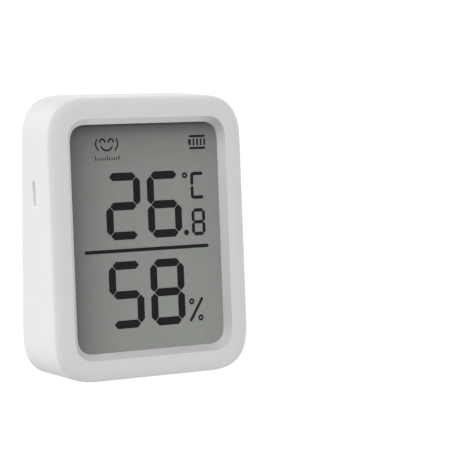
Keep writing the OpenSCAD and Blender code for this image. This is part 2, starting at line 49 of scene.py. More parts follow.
# Sizes of the body, the same as in the part's source
BODY_W = 64.5
BODY_H = 80.3
TOP_RISE = 0.3
BODY_D = 21.5
LEAN = math.radians(3.9)
CORNER_REACH = 15.0
CORNER_POWER = 3.0
FRONT_ROUND = 1.75
FRONT_REACH = 3.6
REAR_ROUND = 1.4
WALL = 2.0
FRAME_MARGIN = 6.0
BEVEL_W = 1.8
BEVEL_D = 1.9
WINDOW_LAND = 0.15
WINDOW_REACH = 6.3
SLOT_L = 7.2
SLOT_W = 1.2
SLOT_UP = 53.6
SLOT_BACK = 9.8
REAR_Y = BODY_D / 2
FOOT_Y = -BODY_D / 2
FRONT_TOP = BODY_H - TOP_RISE
FRONT_H = FRONT_TOP / math.cos(LEAN)
FRONT_MID = FRONT_H / 2
WINDOW_W = BODY_W - 2 * (FRAME_MARGIN + BEVEL_W)
WINDOW_H = FRONT_H - 2 * (FRAME_MARGIN + BEVEL_W)

# Bosses, posts and hook pockets inside the housing, also the same
BOSS_R = 2.2
BOSS_X = 27.0
BOSS_ZS = (43.0, 66.0)
BOSS_Y = 4.0
BOSS_H = 4.95
BOSS_FLOOR = 0.6
BOSS_WEB = 1.4
CASE_BORE_R = 0.8
POST_R = 1.6
POST_X = 28.55
POST_UPS = (44.5, FRONT_H - 19.7)
POST_END = 5.6
POST_FLOOR = 2.7
BOARD_BORE_R = 0.6
POCKET_X = 12.0
POCKET_HALF_W = 3.2
POCKET_NEAR = 6.75
POCKET_FAR = 8.15
POCKET_FLOOR = 1.0

# How far a post or web reaches into the wall that carries it
SINK = 0.3

# Fine forms that only this mesh has: small edge rounds, the slot's mouth, shifts of the window's inner edge
RIM_ROUND = 0.25
SLOPE_OUTER_ROUND = 0.18
SLOPE_INNER_ROUND = 0.12
SLOT_FLARE = 0.45
SLOT_FLARE_DEEP = 1.8
WINDOW_RISE = 0.15
WINDOW_LIFT = 0.07
WINDOW_SHIFT = 0.1

# Steps of the round stretches, and the angle from which an edge stays sharp
CORNER_STEPS = 20
RIM_STEPS = 4
REAR_STEPS = 10
FRONT_STEPS = 18
SLOPE_OUTER_STEPS = 4
SLOPE_INNER_STEPS = 3
SLOT_STEPS = 8
SHARP_ANGLE = math.radians(35)


# Meshes

def make_piece(name, bm, material, body="case"):
    """Turn a bmesh in millimetres into a piece that rides on a body."""
    bmesh.ops.recalc_face_normals(bm, faces=bm.faces[:])
    bmesh.ops.scale(bm, vec=(MM, MM, MM), verts=bm.verts[:])
    mesh = bpy.data.meshes.new(name)
    bm.to_mesh(mesh)
    bm.free()
    mesh.shade_smooth()
    mesh.set_sharp_from_angle(angle=SHARP_ANGLE)
    mesh.materials.append(material)
    piece = bpy.data.objects.new(name, mesh)
    bpy.context.scene.collection.objects.link(piece)
    weigh_normals(piece)
    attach(piece, body)
    return piece


def weigh_normals(obj):
    weighted = obj.modifiers.new("normals", "WEIGHTED_NORMAL")
    weighted.keep_sharp = True


def outline(width, height, reach):
    """Closed outline with soft corners, one run of points per corner."""
    points = []
    for quarter in range(4):
        sign_x = 1 if quarter in (0, 3) else -1
        sign_z = 1 if quarter < 2 else -1
        for i in range(CORNER_STEPS + 1):
            a = math.radians(90 * (quarter + i / CORNER_STEPS))
            x = width / 2 - reach + reach * abs(math.cos(a)) ** (2 / CORNER_POWER)
            z = height / 2 - reach + reach * abs(math.sin(a)) ** (2 / CORNER_POWER)
            points.append((sign_x * x, sign_z * z))
    return points


def on_front(x, depth, up):
    """Point in the frame of the leaning front: across, into the body, up the slope."""
    return (
        x,
        FOOT_Y + depth * math.cos(LEAN) + up * math.sin(LEAN),
        up * math.cos(LEAN) - depth * math.sin(LEAN),
    )


def off_front(point):
    """Across, depth and height up the slope of a point that is given in metres."""
    x, y, z = point / MM
    depth = (y - FOOT_Y) * math.cos(LEAN) - z * math.sin(LEAN)
    return x, depth, z / math.cos(LEAN) + depth * math.tan(LEAN)


def front_ring(inset, depth):
    ring = []
    for x, z in outline(BODY_W - 2 * inset, FRONT_TOP - 2 * inset, CORNER_REACH - inset):
        z += FRONT_TOP / 2
        ring.append((x, FOOT_Y + z * math.tan(LEAN) + depth, z))
    return ring


def rear_ring(inset, depth):
    shape = outline(BODY_W - 2 * inset, BODY_H - 2 * inset, CORNER_REACH - inset)
    return [(x, REAR_Y - depth, z + BODY_H / 2) for x, z in shape]


def window_ring(spread, depth):
    """Ring of the window. Its slope is narrower along the top and the left, and wider along the bottom."""
    shape = outline(WINDOW_W + 2 * spread, WINDOW_H + 2 * spread, WINDOW_REACH + spread)
    inner = 1 - min(spread / BEVEL_W, 1)
    ring = []
    for x, up in shape:
        rise = WINDOW_RISE if up > 0 else WINDOW_LIFT
        shift = WINDOW_SHIFT if x < 0 else 0
        ring.append(on_front(x - shift * inner, depth, up + FRONT_MID + rise * inner))
    return ring


def arc(start_deg, end_deg, steps):
    return [math.radians(start_deg + (end_deg - start_deg) * i / steps) for i in range(steps + 1)]


def full_turn(steps):
    return arc(0, 360 - 360 / steps, steps - 1)


def edge_round(before, corner, after, radius, steps):
    """Points of a round edge at corner, between the directions to before and after."""
    corner = Vector(corner)
    a = (Vector(before) - corner).normalized()
    b = (Vector(after) - corner).normalized()
    half = a.angle(b) / 2
    centre = corner + (a + b).normalized() * radius / math.sin(half)
    p = corner + a * radius / math.tan(half) - centre
    q = corner + b * radius / math.tan(half) - centre
    total = p.angle(q)
    points = []
    for i in range(steps + 1):
        t = i / steps
        points.append(centre + (p * math.sin((1 - t) * total) + q * math.sin(t * total)) / math.sin(total))
    return points


def add_loop(bm, points):
    return [bm.verts.new(p) for p in points]


def bridge(bm, first, second, skip=()):
    """Quads between two closed loops of the same length."""
    count = len(first)
    for i in range(count):
        if i not in skip:
            j = (i + 1) % count
            bm.faces.new((first[i], first[j], second[j], second[i]))


def fill_with_holes(bm, border, holes):
    """Flat face inside border, left open at each hole."""
    edges = []
    for loop in [border] + holes:
        for i, vert in enumerate(loop):
            following = loop[(i + 1) % len(loop)]
            edge = bm.edges.get((vert, following))
            edges.append(edge or bm.edges.new((vert, following)))
    bmesh.ops.triangle_fill(bm, use_beauty=True, edges=edges)


def window_rings():
    """Rings down the window's slope, which is rounded at both of its edges."""
    flat, outer = (2 * BEVEL_W, 0, 0), (BEVEL_W, 0, 0)
    inner, floor = (0, BEVEL_D - WINDOW_LAND, 0), (0, BEVEL_D, 0)
    profile = edge_round(flat, outer, inner, SLOPE_OUTER_ROUND, SLOPE_OUTER_STEPS)
    profile += edge_round(outer, inner, floor, SLOPE_INNER_ROUND, SLOPE_INNER_STEPS)
    return [window_ring(p.x, p.y) for p in profile] + [window_ring(0, BEVEL_D)]


def slot_loop(bm, radius, sink):
    """Loop round the vent slot, at a depth into the left wall."""
    half = (SLOT_L - SLOT_W) / 2
    loop = []
    for start, rise in ((0, half), (180, -half)):
        for a in arc(start, start + 180, SLOT_STEPS):
            depth, up = SLOT_BACK + radius * math.cos(a), SLOT_UP + rise + radius * math.sin(a)
            loop.append(on_front(sink - BODY_W / 2, depth, up))
    return add_loop(bm, loop)


def add_slot(bm):
    """Wall of the vent slot, flared at its mouth. Gives its outer and its inner loop."""
    loops = []
    for a in arc(0, 90, SLOT_STEPS):
        radius = SLOT_W / 2 + SLOT_FLARE * (1 - math.sin(a))
        loops.append(slot_loop(bm, radius, SLOT_FLARE_DEEP * (1 - math.cos(a))))
    loops.append(slot_loop(bm, SLOT_W / 2, WALL))
    for first, second in zip(loops, loops[1:]):
        bridge(bm, first, second)
    return loops[0], loops[-1]


def add_pocket(bm, middle):
    """Pocket for a hook in the bottom wall. Gives the loop of its mouth."""
    left, right = middle - POCKET_HALF_W, middle + POCKET_HALF_W
    corners = ((left, POCKET_NEAR), (right, POCKET_NEAR), (right, POCKET_FAR), (left, POCKET_FAR))
    upper = add_loop(bm, [(x, y, WALL) for x, y in corners])
    lower = add_loop(bm, [(x, y, POCKET_FLOOR) for x, y in corners])
    bridge(bm, upper, lower)
    bm.faces.new(lower)
    return upper


def housing_mesh():
    """Shell of the body as one closed skin: rear edge, side, front, window and cavity."""
    bm = bmesh.new()
    rear_inner = [
        rear_ring(WALL - RIM_ROUND * (1 - math.cos(a)), RIM_ROUND * (1 - math.sin(a)))
        for a in arc(0, 90, RIM_STEPS)
    ]
    rear_outer = [
        rear_ring(REAR_ROUND * (1 - math.cos(a)), REAR_ROUND * (1 - math.sin(a)))
        for a in arc(90, 0, REAR_STEPS)
    ]
    front_edge = [
        front_ring(FRONT_REACH * (1 - math.cos(a)), FRONT_ROUND * (1 - math.sin(a)))
        for a in arc(0, 90, FRONT_STEPS)
    ]
    inside = front_ring(WALL, BEVEL_D / math.cos(LEAN))
    rings = rear_inner + rear_outer + front_edge + window_rings() + [inside]
    loops = [add_loop(bm, ring) for ring in rings]
    side_at = len(rear_inner) + len(rear_outer) - 1
    cavity_at = len(loops) - 1
    left = 2 * (CORNER_STEPS + 1) - 1
    bottom = 3 * (CORNER_STEPS + 1) - 1
    left_open = {side_at: (left,), cavity_at: (left, bottom)}
    for k, loop in enumerate(loops):
        bridge(bm, loop, loops[(k + 1) % len(loops)], left_open.get(k, ()))

    def patch(k, i):
        following = loops[(k + 1) % len(loops)]
        return [loops[k][i], loops[k][i + 1], following[i + 1], following[i]]

    mouth, inner_end = add_slot(bm)
    fill_with_holes(bm, patch(side_at, left), [mouth])
    fill_with_holes(bm, patch(cavity_at, left), [inner_end])
    pockets = [add_pocket(bm, x) for x in (-POCKET_X, POCKET_X)]
    fill_with_holes(bm, patch(cavity_at, bottom), pockets)
    return bm


def add_rod(bm, foot, along, length, radius, steps=36):
    """Closed round rod from foot in the direction along."""
    foot = Vector(foot)
    along = Vector(along).normalized()
    side = along.orthogonal().normalized()
    other = along.cross(side)
    loops = []
    for reach in (0.0, length):
        points = []
        for i in range(steps):
            a = 2 * math.pi * i / steps
            points.append(foot + along * reach + (side * math.cos(a) + other * math.sin(a)) * radius)
        loops.append(add_loop(bm, points))
        bm.faces.new(loops[-1])
    bridge(bm, loops[0], loops[1])


def add_block(bm, low, high):
    """Closed block between two corners."""
    loops = []
    for z in (low[2], high[2]):
        corners = ((low[0], low[1]), (high[0], low[1]), (high[0], high[1]), (low[0], high[1]))
        loops.append(add_loop(bm, [(x, y, z) for x, y in corners]))
        bm.faces.new(loops[-1])
    bridge(bm, loops[0], loops[1])


def combine(bm, tool, operation):
    """Exact union or difference of two closed bmeshes, as a new bmesh."""
    blanks = []
    for part in (bm, tool):
        bmesh.ops.recalc_face_normals(part, faces=part.faces[:])
        mesh = bpy.data.meshes.new("blank")
        part.to_mesh(mesh)
        part.free()
        blanks.append(bpy.data.objects.new("blank", mesh))
        bpy.context.scene.collection.objects.link(blanks[-1])
    step = blanks[0].modifiers.new("step", "BOOLEAN")
    step.operation = operation
    step.solver = "EXACT"
    step.object = blanks[1]
    result = bmesh.new()
    result.from_mesh(blanks[0].evaluated_get(bpy.context.evaluated_depsgraph_get()).to_mesh())
    for blank in blanks:
        bpy.data.objects.remove(blank)
    return result


def with_bosses(bm):
    """Housing with the bosses of the case screws and the posts of the board inside it."""
    rearward = (0, 1, 0)
    inward = (0, math.cos(LEAN), -math.sin(LEAN))
    post_l = POST_END - BEVEL_D
    rods, webs, bores = bmesh.new(), bmesh.new(), bmesh.new()
    for side in (-1, 1):
        for z in BOSS_ZS:
            add_rod(rods, (side * BOSS_X, BOSS_Y, z), rearward, BOSS_H, BOSS_R)
            near, far = sorted((side * BOSS_X, side * (BODY_W / 2 - WALL + SINK)))
            low, high = z - BOSS_WEB / 2, z + BOSS_WEB / 2
            add_block(webs, (near, BOSS_Y, low), (far, BOSS_Y + BOSS_H, high))
            add_rod(bores, (side * BOSS_X, BOSS_Y + BOSS_FLOOR, z), rearward, BOSS_H, CASE_BORE_R)
        for up in POST_UPS:
            foot = on_front(side * POST_X, BEVEL_D - SINK, up)
            add_rod(rods, foot, inward, post_l + SINK, POST_R)
            add_rod(bores, on_front(side * POST_X, POST_FLOOR, up), inward, post_l, BOARD_BORE_R)
    for tool, operation in ((rods, "UNION"), (webs, "UNION"), (bores, "DIFFERENCE")):
        bm = combine(bm, tool, operation)
    return bm


# Materials

# Part of a noise's range over which a tone or a gloss changes
NOISE_LOW, NOISE_HIGH = 0.3, 0.7


def new_material(name):
    material = bpy.data.materials.new(name)
    material.use_nodes = True
    tree = material.node_tree
    return material, tree, tree.nodes["Principled BSDF"]


def object_point(tree):
    return tree.nodes.new("ShaderNodeTexCoord").outputs["Object"]


def noise(tree, point, scale, detail=3.0, rough=0.55):
    node = tree.nodes.new("ShaderNodeTexNoise")
    node.inputs["Scale"].default_value = scale
    node.inputs["Detail"].default_value = detail
    node.inputs["Roughness"].default_value = rough
    tree.links.new(point, node.inputs["Vector"])
    return node.outputs["Fac"]


def ramp(tree, value, stops, blend="LINEAR"):
    node = tree.nodes.new("ShaderNodeValToRGB")
    node.color_ramp.interpolation = blend
    elements = node.color_ramp.elements
    while len(elements) < len(stops):
        elements.new(0.5)
    for element, (at, colour) in zip(elements, stops):
        element.position = at
        element.color = (*colour, 1.0)
    tree.links.new(value, node.inputs["Fac"])
    return node.outputs["Color"]


def tone_ramp(tree, value, stops, blend="LINEAR"):
    return ramp(tree, value, [(at, (tone,) * 3) for at, tone in stops], blend)


def mottle(tree, value, dark, colour):
    """Colour that a noise moves between a darker shade of it and itself."""
    return ramp(tree, value, [(NOISE_LOW, shade(colour, dark)), (NOISE_HIGH, colour)])


def map_range(tree, value, low, high, to_low, to_high, smooth=False):
    node = tree.nodes.new("ShaderNodeMapRange")
    if smooth:
        node.interpolation_type = "SMOOTHSTEP"
    for key, number in zip(("From Min", "From Max", "To Min", "To Max"), (low, high, to_low, to_high)):
        node.inputs[key].default_value = number
    tree.links.new(value, node.inputs["Value"])
    return node.outputs["Result"]


def way_along(tree, point, axis, start, end):
    """Share of the way from start to end along an axis, both in metres."""
    split = tree.nodes.new("ShaderNodeSeparateXYZ")
    tree.links.new(point, split.inputs["Vector"])
    return map_range(tree, split.outputs[axis], start, end, 0.0, 1.0)


def vector_value(tree, operation, vector, fixed):
    """Number made of a vector and a fixed one, such as their dot product or distance."""
    node = tree.nodes.new("ShaderNodeVectorMath")
    node.operation = operation
    node.inputs[1].default_value = fixed
    tree.links.new(vector, node.inputs[0])
    return node.outputs["Value"]


def math_value(tree, operation, first, second):
    node = tree.nodes.new("ShaderNodeMath")
    node.operation = operation
    tree.links.new(first, node.inputs[0])
    tree.links.new(second, node.inputs[1])
    return node.outputs["Value"]


def colour_product(tree, first, second):
    node = tree.nodes.new("ShaderNodeMixRGB")
    node.blend_type = "MULTIPLY"
    node.inputs["Fac"].default_value = 1.0
    tree.links.new(first, node.inputs["Color1"])
    tree.links.new(second, node.inputs["Color2"])
    return node.outputs["Color"]


def add_gloss(tree, shader, value, low, high):
    """Roughness that a noise moves between two values."""
    gloss = map_range(tree, value, NOISE_LOW, NOISE_HIGH, low, high)
    tree.links.new(gloss, shader.inputs["Roughness"])


def add_bump(tree, shader, height, strength, depth):
    node = tree.nodes.new("ShaderNodeBump")
    node.inputs["Strength"].default_value = strength
    node.inputs["Distance"].default_value = depth * MM
    tree.links.new(height, node.inputs["Height"])
    tree.links.new(node.outputs["Normal"], shader.inputs["Normal"])


def shade(colour, factor):
    return tuple(c * factor for c in colour)


# Grain of the moulded surfaces: noise scales per metre, bump depths in millimetres
CLOUD_SCALE = 60.0
GRAIN_SCALE = 2500.0
GRAIN_STRENGTH = 0.05
GRAIN_DEPTH = 0.05
GRAIN_DETAIL = 2.0
GLOSS_SPREAD = 0.05
FINE_STRENGTH = 0.03
FINE_DEPTH = 0.03


def moulded(name, colour, rough=0.42, spread=0.03, grain=GRAIN_SCALE, strength=GRAIN_STRENGTH, specular=0.5):
    """Moulded or coated surface: faint cloudy tone, uneven gloss and a fine grain."""
    material, tree, shader = new_material(name)
    point = object_point(tree)
    tone = mottle(tree, noise(tree, point, CLOUD_SCALE), 1 - spread, colour)
    tree.links.new(tone, shader.inputs["Base Color"])
    fine = noise(tree, point, grain, GRAIN_DETAIL)
    add_gloss(tree, shader, fine, rough - GLOSS_SPREAD, rough + GLOSS_SPREAD)
    add_bump(tree, shader, fine, strength, GRAIN_DEPTH)
    shader.inputs["Specular IOR Level"].default_value = specular
    return material


# Drawn lines of the metals, long in X and close together in Y and Z
BRUSH_STRETCH = (40.0, 900.0, 900.0)
BRUSH_SCALE = 6.0
BRUSH_DETAIL = 4.0
BRUSH_DARK = 0.82
BRUSH_STRENGTH = 0.1
BRUSH_SMOOTHER, BRUSH_ROUGHER = 0.08, 0.1


def brushed(name, colour, rough):
    """Metal with fine drawn lines along one axis."""
    material, tree, shader = new_material(name)
    mapping = tree.nodes.new("ShaderNodeMapping")
    mapping.inputs["Scale"].default_value = BRUSH_STRETCH
    tree.links.new(object_point(tree), mapping.inputs["Vector"])
    lines = noise(tree, mapping.outputs["Vector"], BRUSH_SCALE, BRUSH_DETAIL)
    tree.links.new(mottle(tree, lines, BRUSH_DARK, colour), shader.inputs["Base Color"])
    add_gloss(tree, shader, lines, rough - BRUSH_SMOOTHER, rough + BRUSH_ROUGHER)
    add_bump(tree, shader, lines, BRUSH_STRENGTH, FINE_DEPTH)
    shader.inputs["Metallic"].default_value = 1.0
    return material


# Colours of the shell and the signs, and how much paler the inside of the slot is painted, as painted light
# where the slot lies in shade
SHELL = (0.80, 0.799, 0.811)
SLOT_PAINTED_LIGHT = 1.2
INK = (0.011, 0.0105, 0.0115)

# Painted shade of the window's slope: mean, change to the right and to the top, and at each corner, by side
# and end; above one it is painted light
SLOPE_PAINTED_SHADE, SLOPE_SHADE_RIGHT, SLOPE_SHADE_UP = 0.916, -0.0625, 0.1
CORNER_PAINTED_SHADING = {(1, 1): 0.69, (-1, 1): 0.85, (-1, -1): 0.9, (1, -1): 1.15}
CORNER_SPREAD = 8.0
CORNER_CUT = 1.2
SLOPE_ROUGH = (0.45, 0.55)


def on_corner(side, end):
    """Middle of a corner of the window's slope, in metres."""
    across = side * (WINDOW_W / 2 + BEVEL_W / 2 - CORNER_CUT)
    up = FRONT_MID + end * (WINDOW_H / 2 + BEVEL_W / 2 - CORNER_CUT)
    return Vector(on_front(across, BEVEL_D / 2, up)) * MM


def slope_painted_shade_material():
    """Plastic of the window's slope, with painted shade that drifts a little over the window and darkens
    three of its corners, and painted light at its lower right corner.
    """
    material, tree, shader = new_material("slope_plastic_painted_shade")
    point = object_point(tree)
    half_w, half_h = WINDOW_W / 2 * MM, WINDOW_H / 2 * MM
    painted_drift = vector_value(tree, "DOT_PRODUCT", point, (SLOPE_SHADE_RIGHT / half_w, 0.0, SLOPE_SHADE_UP / half_h))
    level = SLOPE_SHADE_UP * BODY_H / 2 * MM / half_h
    reach = 0.5
    # Painted shade over the whole slope, darker to the right and lighter to the top
    tone = map_range(tree, painted_drift, level - reach, level + reach, SLOPE_PAINTED_SHADE - reach, SLOPE_PAINTED_SHADE + reach)
    # Painted shade at three corners of the slope, and painted light at the lower right one
    for (side, end), corner_painted_shading in CORNER_PAINTED_SHADING.items():
        away = vector_value(tree, "DISTANCE", point, on_corner(side, end))
        painted_spot = map_range(tree, away, 0.0, CORNER_SPREAD * MM, corner_painted_shading, 1.0, True)
        tone = math_value(tree, "MULTIPLY", tone, painted_spot)
    tint = tree.nodes.new("ShaderNodeVectorMath")
    tint.operation = "SCALE"
    tint.inputs[0].default_value = SHELL
    tree.links.new(tone, tint.inputs["Scale"])
    tree.links.new(tint.outputs["Vector"], shader.inputs["Base Color"])
    fine = noise(tree, point, GRAIN_SCALE, GRAIN_DETAIL)
    add_gloss(tree, shader, fine, *SLOPE_ROUGH)
    add_bump(tree, shader, fine, GRAIN_STRENGTH, GRAIN_DEPTH)
    return material


# Painted shade of the film across the window, from its left edge, and down it, from its top edge, with a
# little painted light at its foot
FILM_SIDE_PAINTED_SHADE = [
    (0.0, 0.48), (0.06, 0.66), (0.12, 0.78), (0.2, 0.875), (0.3, 0.945), (0.7, 1.0), (1.0, 0.955),
]
FILM_TOP_PAINTED_SHADE = [
    (0.0, 0.08), (0.007, 0.2), (0.014, 0.37), (0.06, 0.71),
    (0.1, 0.82), (0.2, 0.94), (0.4, 1.0), (1.0, 1.06),
]
FILM = (0.32, 0.336, 0.313)
FILM_DARK = 0.94
FILM_TOP_Z = 72.3
FILM_FOOT_Z = 8.0
FILM_MOTTLE_SCALE = 400.0
FILM_GRAIN_SCALE = 4000.0
FILM_ROUGH = (0.5, 0.6)
FILM_SPECULAR = 0.25


def film_material():
    """Grey-green display film, darker where the frame keeps the light off it, at the left and the top."""
    material, tree, shader = new_material("display_film")
    point = object_point(tree)
    from_left = way_along(tree, point, "X", -WINDOW_W / 2 * MM, WINDOW_W / 2 * MM)
    from_top = way_along(tree, point, "Z", FILM_TOP_Z * MM, FILM_FOOT_Z * MM)
    # Painted shade from the frame: darker at the left edge, with a dark line along the top edge
    across = tone_ramp(tree, from_left, FILM_SIDE_PAINTED_SHADE)
    down = tone_ramp(tree, from_top, FILM_TOP_PAINTED_SHADE)
    shadow = colour_product(tree, across, down)
    base = mottle(tree, noise(tree, point, FILM_MOTTLE_SCALE), FILM_DARK, FILM)
    tree.links.new(colour_product(tree, base, shadow), shader.inputs["Base Color"])
    fine = noise(tree, point, FILM_GRAIN_SCALE, GRAIN_DETAIL)
    add_gloss(tree, shader, fine, *FILM_ROUGH)
    add_bump(tree, shader, fine, FINE_STRENGTH, FINE_DEPTH)
    shader.inputs["Specular IOR Level"].default_value = FILM_SPECULAR
    return material


shell_plastic = moulded("shell_plastic", SHELL, 0.45, 0.015)
# Plastic of the window's slope, with painted shade and, at its lower right corner, painted light
slope_plastic_painted_shade = slope_painted_shade_material()
# Inside of the slot: the shell plastic painted paler, as painted light
slot_plastic_painted_light = moulded("slot_plastic_painted_light", shade(SHELL, SLOT_PAINTED_LIGHT), 0.5, 0.02)
segment_ink = moulded("segment_ink", INK, 0.55, 0.2, grain=1500.0, strength=0.02, specular=0.15)


# Housing

housing = make_piece("housing_shell", with_bosses(housing_mesh()), shell_plastic)
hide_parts("front_housing")

# Room kept from the flat faces next to the slope and next to the slot's wall
SLOPE_START = 0.02
LAND_ROOM = 0.001
SLOT_ROOM = 0.005


def on_slope(x, depth, up):
    within = abs(x) < WINDOW_W / 2 + BEVEL_W and abs(up - FRONT_MID) < WINDOW_H / 2 + BEVEL_W
    return within and SLOPE_START < depth < BEVEL_D - LAND_ROOM


def in_slot(x, depth, up):
    near = abs(depth - SLOT_BACK) < SLOT_W and abs(up - SLOT_UP) < SLOT_L / 2 + SLOT_W
    return near and SLOT_ROOM < x + BODY_W / 2 < WALL - SLOT_ROOM


def finish_faces(mesh, material, chosen):
    """Give the faces that a rule chooses, by their place on the front, their own material."""
    mesh.materials.append(material)
    for face in mesh.polygons:
        if chosen(*off_front(face.center)):
            face.material_index = len(mesh.materials) - 1


# Faces of the window's slope take the plastic with painted shade
finish_faces(housing.data, slope_plastic_painted_shade, on_slope)
# Faces inside the slot take the paler plastic with painted light
finish_faces(housing.data, slot_plastic_painted_light, in_slot)


# Display signs, thin layers on the film, placed from the middle of the window

# Thickness of a sign, half angle of a corner that counts as straight, most of a side that a round takes
SIGN_T = 0.03
STRAIGHT = math.radians(88)
ROUND_SHARE = 0.45


def round_corners(points, radius, steps=3):
    """Outline with each corner cut by a small arc, limited by its sides."""
    result = []
    count = len(points)
    for i in range(count):
        before, corner, after = points[i - 1], points[i], points[(i + 1) % count]
        a = Vector(before) - Vector(corner)
        b = Vector(after) - Vector(corner)
        half = a.angle(b) / 2
        if half > STRAIGHT:
            result.append(corner)
            continue
        limit = min(a.length, b.length) * ROUND_SHARE * math.tan(half)
        shape = edge_round((*before, 0), (*corner, 0), (*after, 0), min(radius, limit), steps)
        result.extend((p.x, p.y) for p in shape)
    return result


def on_film(u, v, height):
    """Point at a height above the film, across and up from the middle of the window."""
    return on_front(u, BEVEL_D - height, FRONT_MID + v)


def add_plate(bm, points):
    """Thin plate on the film with a flat outline in across and up."""
    front = add_loop(bm, [on_film(u, v, SIGN_T) for u, v in points])
    back = add_loop(bm, [on_film(u, v, 0) for u, v in points])
    bm.faces.new(front)
    bm.faces.new(back)
    bridge(bm, front, back)


def add_bar(bm, left, right, low, high, soften):
    corners = [(left, low), (right, low), (right, high), (left, high)]
    add_plate(bm, round_corners(corners, soften))


def add_ring(bm, u, v, outer, inner, steps=28):
    loops = []
    for height, radius in ((0, inner), (SIGN_T, inner), (SIGN_T, outer), (0, outer)):
        points = []
        for i in range(steps):
            a = 2 * math.pi * i / steps
            points.append(on_film(u + radius * math.cos(a), v + radius * math.sin(a), height))
        loops.append(add_loop(bm, points))
    for k in range(4):
        bridge(bm, loops[k], loops[(k + 1) % 4])


def add_stroke(bm, path, width, steps=6):
    """Band of even width along a path, with round ends."""
    path = [Vector(p) for p in path]
    left, right = [], []
    for i, p in enumerate(path):
        a = path[max(i - 1, 0)]
        b = path[min(i + 1, len(path) - 1)]
        along = (b - a).normalized()
        across = Vector((-along.y, along.x)) * width / 2
        left.append(p + across)
        right.append(p - across)
    outline_points = []

    def cap(centre, start):
        for k in range(1, steps):
            a = math.pi * k / steps
            turned = Vector((
                start.x * math.cos(a) + start.y * math.sin(a),
                start.y * math.cos(a) - start.x * math.sin(a),
            ))
            outline_points.append(centre + turned)

    outline_points.extend(left)
    cap(path[-1], left[-1] - path[-1])
    outline_points.extend(reversed(right))
    cap(path[0], right[0] - path[0])
    add_plate(bm, [(p.x, p.y) for p in outline_points])


def arc_path(u, v, radius_u, radius_v, start, end, steps=12):
    return [(u + radius_u * math.cos(a), v + radius_v * math.sin(a)) for a in arc(start, end, steps)]


# Segments of each digit that is shown: a at the top, then clockwise to f, and g in the middle
SEGMENTS = {"2": "abged", "5": "afgcd", "6": "afgedc", "8": "abcdefg"}


def add_digit(bm, digit, u, v, width, height, stroke, gap, soften):
    """Seven-segment digit centred at u, v, from long hexagons that nearly meet at their tips."""
    x = (width - stroke) / 2
    y = (height - stroke) / 2
    ends = {
        "a": ((-x, y), (x, y)), "b": ((x, y), (x, 0)), "c": ((x, 0), (x, -y)), "d": ((-x, -y), (x, -y)),
        "e": ((-x, 0), (-x, -y)), "f": ((-x, y), (-x, 0)), "g": ((-x, 0), (x, 0)),
    }
    for key in SEGMENTS[digit]:
        a, b = (Vector(p) for p in ends[key])
        along = (b - a).normalized()
        across = Vector((-along.y, along.x)) * stroke / 2
        a = a + along * gap / 2
        b = b - along * gap / 2
        shoulder = along * stroke / 2
        one_side = [a, a + shoulder + across, b - shoulder + across]
        points = one_side + [b, b - shoulder - across, a + shoulder - across]
        add_plate(bm, round_corners([(u + p.x, v + p.y) for p in points], soften))


def sign(name, build):
    bm = bmesh.new()
    build(bm)
    return make_piece(name, bm, segment_ink)


# Sizes of the digits, and the middles of their columns and rows
DIGIT = dict(width=11.4, height=19.06, stroke=2.3, gap=0.3, soften=0.3)
TENTHS = dict(width=4.6, height=7.82, stroke=0.99, gap=0.16, soften=0.12)
LEFT_U, RIGHT_U = -7.89, 5.82
UPPER_V, LOWER_V = 9.07, -16.16
TENTHS_U, TENTHS_V = 17.15, 3.45
for name, digit, u, v, sizes in (
    ("digit_tens_upper", "2", LEFT_U, UPPER_V, DIGIT),
    ("digit_ones_upper", "6", RIGHT_U, UPPER_V, DIGIT),
    ("digit_tens_lower", "5", LEFT_U, LOWER_V, DIGIT),
    ("digit_ones_lower", "8", RIGHT_U, LOWER_V, DIGIT),
    ("digit_tenths", "8", TENTHS_U, TENTHS_V, TENTHS),
):
    sign(name, lambda bm: add_digit(bm, digit, u, v, **sizes))

# Small ring of the degree sign and the percent sign
SIGN_RING = dict(outer=0.89, inner=0.33)


def decimal_dot(bm):
    u, v, radius, steps = 12.92, 0.53, 0.81, 32
    add_plate(bm, [(u + radius * math.cos(a), v + radius * math.sin(a)) for a in full_turn(steps)])


def divider_bar(bm):
    left, right, v, stroke = -20.64, 19.8, -3.55, 1.0
    add_stroke(bm, [(left, v), (right, v)], stroke)


def degree_sign(bm):
    ring_u, ring_v = 12.95, 17.08
    add_ring(bm, ring_u, ring_v, **SIGN_RING)
    left, right, top, low = 15.36, 18.62, 17.47, 10.61
    upper_end, lower_end = 14.7, 13.38
    stroke, cut, turn = 0.97, 0.55, 0.15
    for level, end, side in ((top, upper_end, -1), (low, lower_end, 1)):
        corner = [(left + cut, level), (left + turn, level + side * turn), (left, level + side * cut)]
        add_stroke(bm, [(right, level)] + corner + [(left, end)], stroke)


def percent_sign(bm):
    for u, v in ((13.8, -19.5), (16.73, -24.37)):
        add_ring(bm, u, v, **SIGN_RING)
    slash, stroke = [(13.36, -24.93), (17.3, -18.87)], 0.84
    add_stroke(bm, slash, stroke)


def battery_sign(bm):
    nub = [(15.5, 27.6), (15.5, 25.65), (14.85, 25.75), (14.5, 26.62), (14.85, 27.5)]
    nub_soften, bar_soften = 0.25, 0.1
    left, right, top, low, rail = 15.25, 20.1, 28.3, 24.86, 0.66
    bars, half, bar_low, bar_high = (16.45, 17.68, 18.9, 20.13), 0.28, 25.6, 27.6
    add_plate(bm, round_corners(nub, nub_soften))
    for v in (top, low):
        add_stroke(bm, [(left, v), (right, v)], rail)
    for u in bars:
        add_bar(bm, u - half, u + half, bar_low, bar_high, bar_soften)


